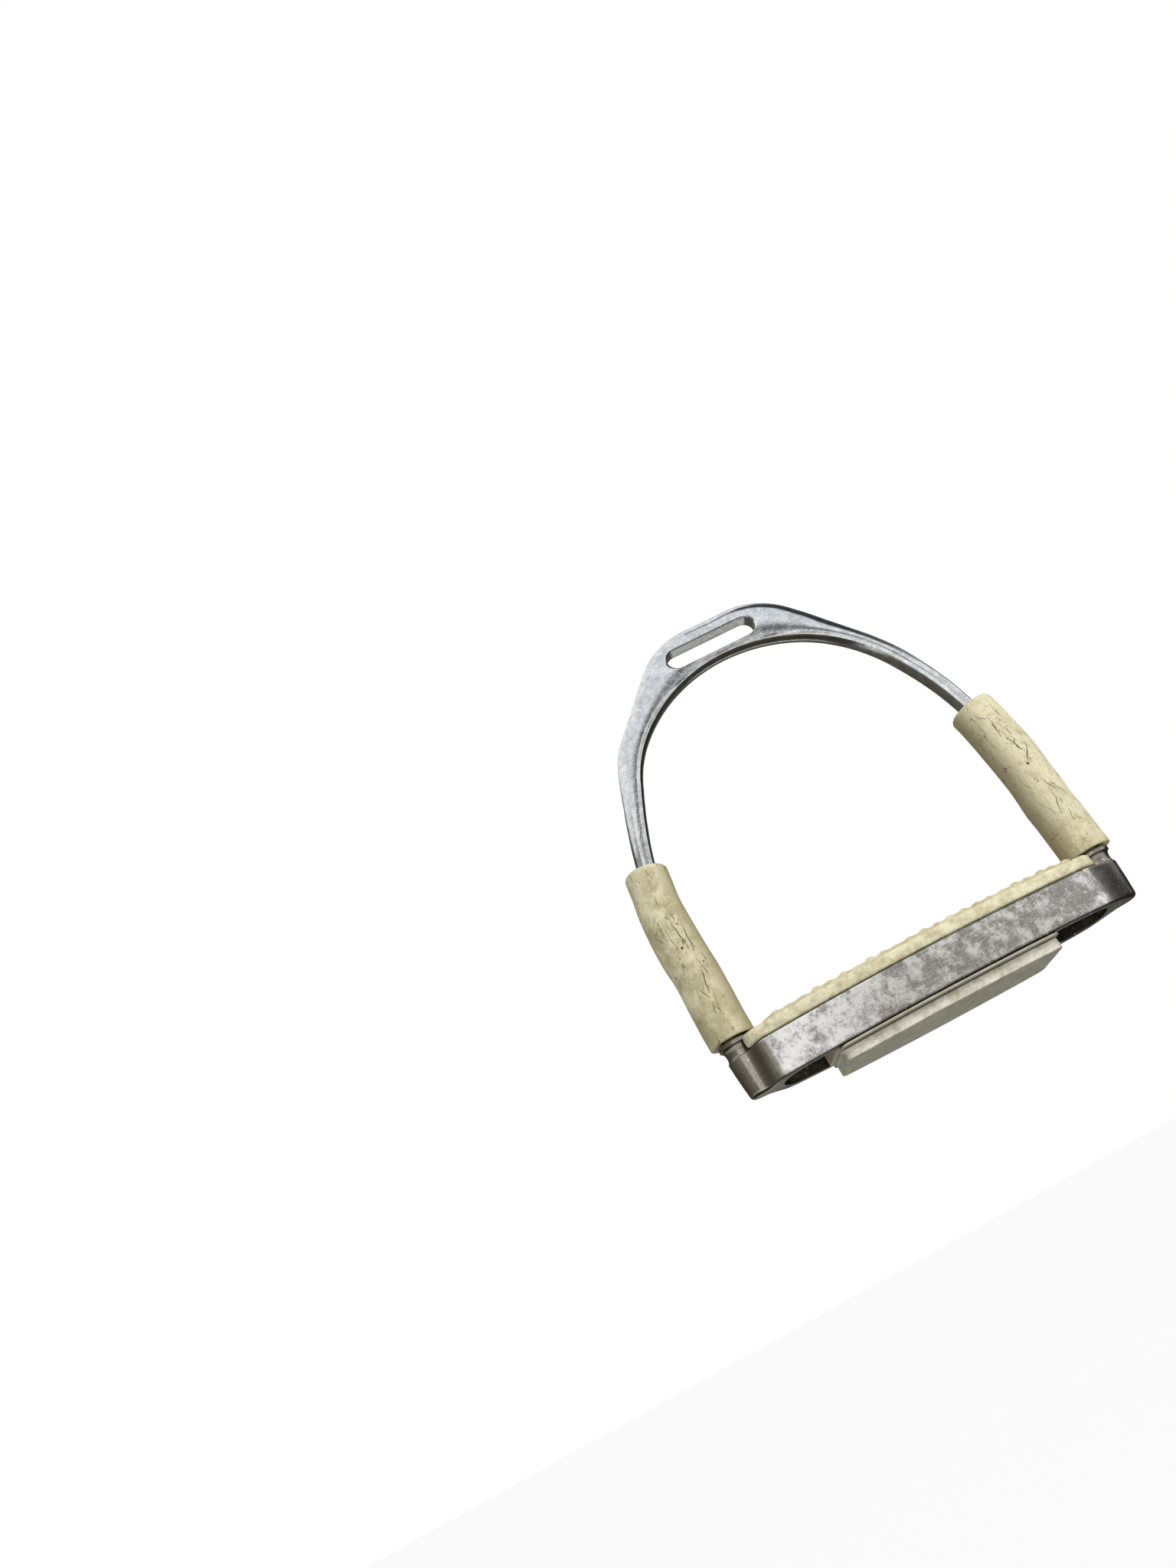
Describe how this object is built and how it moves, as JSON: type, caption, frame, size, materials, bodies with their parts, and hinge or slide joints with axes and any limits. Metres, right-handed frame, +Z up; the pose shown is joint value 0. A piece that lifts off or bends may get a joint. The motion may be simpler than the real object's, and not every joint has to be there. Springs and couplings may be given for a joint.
{
  "type": "flexible stirrup iron",
  "caption": "Jointed riding stirrup iron: steel arch with leather slot, bowed tread with ribbed rubber pad, and a rubber-sleeved joint on each side that lets the tread sway.",
  "frame": {"origin": "middle of the flat under the arch's top bar, where the stirrup leather bears", "axes": "+X along the tread, +Y from front to back through the foot opening, +Z up"},
  "size_m": [0.1524, 0.0394, 0.1721],
  "materials": {
    "arch_steel": "polished stainless steel with fine scratches",
    "tread_steel": "dulled stainless steel",
    "link_steel": "plain steel",
    "rivet_steel": "plain steel",
    "sleeve_rubber": "aged cream rubber with fine cracks",
    "pad_rubber": "cream rubber, worn"
  },
  "bodies": {
    "arch": {"arch": "arch_steel", "left_upper_rivet": "rivet_steel", "right_upper_rivet": "rivet_steel"},
    "left_link": {"left_link_plate_front": "link_steel", "left_link_plate_back": "link_steel", "left_sleeve": "sleeve_rubber"},
    "tread": {"tread_frame": "tread_steel", "tread_pad": "pad_rubber", "left_lower_rivet": "rivet_steel"},
    "right_link": {"right_link_plate_front": "link_steel", "right_link_plate_back": "link_steel", "right_sleeve": "sleeve_rubber"},
    "right_lower_pin": {"right_lower_rivet": "rivet_steel"}
  },
  "joints": [
    {"name": "left_upper_hinge", "type": "hinge", "parent": "arch", "child": "left_link", "pos_m": [-0.06812, 0, -0.0913], "axis": [0, 1, 0], "range_deg": [-18, 18], "stiffness_Nm_per_rad": 0.45, "deforming": ["left_sleeve"]},
    {"name": "left_lower_hinge", "type": "hinge", "parent": "left_link", "child": "tread", "pos_m": [-0.06812, 0, -0.1198], "axis": [0, 1, 0], "range_deg": [-18, 18], "stiffness_Nm_per_rad": 0.45, "deforming": ["left_sleeve"]},
    {"name": "right_upper_hinge", "type": "hinge", "parent": "arch", "child": "right_link", "pos_m": [0.06812, 0, -0.0913], "axis": [0, 1, 0], "range_deg": [-18, 18], "stiffness_Nm_per_rad": 0.9, "deforming": ["right_sleeve"]},
    {"name": "right_lower_hinge", "type": "hinge", "parent": "right_link", "child": "right_lower_pin", "pos_m": [0.06812, 0, -0.1198], "axis": [0, 1, 0], "range_deg": [-18, 18], "deforming": ["right_sleeve"]}
  ],
  "couplings": [
    {"joint": "left_lower_hinge", "follows": "left_upper_hinge", "ratio": -1},
    {"joint": "right_upper_hinge", "follows": "left_upper_hinge", "ratio": 1},
    {"joint": "right_lower_hinge", "follows": "left_upper_hinge", "ratio": -1}
  ]
}
